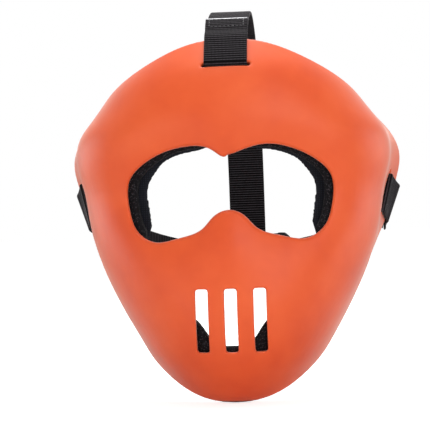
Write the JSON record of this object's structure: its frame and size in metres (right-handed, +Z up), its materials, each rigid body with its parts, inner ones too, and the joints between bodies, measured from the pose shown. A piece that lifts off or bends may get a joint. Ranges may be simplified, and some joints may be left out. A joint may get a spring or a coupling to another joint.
{
  "type": "field hockey face mask",
  "caption": "Moulded face mask with a wide eye opening, mouth slots and foam pads, worn on an elastic webbing harness with hook-and-loop tails.",
  "frame": {"origin": "at eye height in the symmetry plane, level with the wearer's temples", "axes": "+Z up, along the mask's height; the wearer looks along -Y; +X is the wearer's left, seen on the right of the front view"},
  "size_m": [0.204, 0.2349, 0.2341],
  "materials": {
    "shell": "matte soft-touch",
    "foam": "closed-cell foam, cut edges",
    "lining": "smooth knitted lining",
    "webbing": "ribbed elastic webbing",
    "loop": "soft loop pile",
    "hook": "fine hooks",
    "rear_pad": "cloth over foam"
  },
  "bodies": {
    "mask": {"shell": "shell", "brow_pad": "foam", "brow_lining": "lining", "left_cheek_pad": "foam", "right_cheek_pad": "foam", "left_cheek_lining": "lining", "right_cheek_lining": "lining", "chin_pad": "foam", "chin_lining": "lining", "rear_pad": "rear_pad", "crown_strap": "webbing", "crown_loop_patch": "loop", "left_strap": "webbing", "left_loop_patch": "loop", "right_strap": "webbing", "right_loop_patch": "loop"},
    "crown_tab": {"crown_strap_tail": "webbing", "crown_hook_patch": "hook"},
    "left_tab": {"left_strap_tail": "webbing", "left_hook_patch": "hook"},
    "right_tab": {"right_strap_tail": "webbing", "right_hook_patch": "hook"}
  },
  "joints": [
    {"name": "crown_tab_hinge", "type": "hinge", "parent": "mask", "child": "crown_tab", "pos_m": [0, -0.05384, 0.07438], "axis": [1, 0, 0], "range_deg": [0, 100]},
    {"name": "left_tab_hinge", "type": "hinge", "parent": "mask", "child": "left_tab", "pos_m": [0.09254, 0.00367, -0.00337], "axis": [-0.2498, -0.2992, -0.9209], "range_deg": [0, 100]},
    {"name": "right_tab_hinge", "type": "hinge", "parent": "mask", "child": "right_tab", "pos_m": [-0.09254, 0.00367, -0.00337], "axis": [-0.2498, 0.2992, 0.9209], "range_deg": [0, 100]}
  ]
}
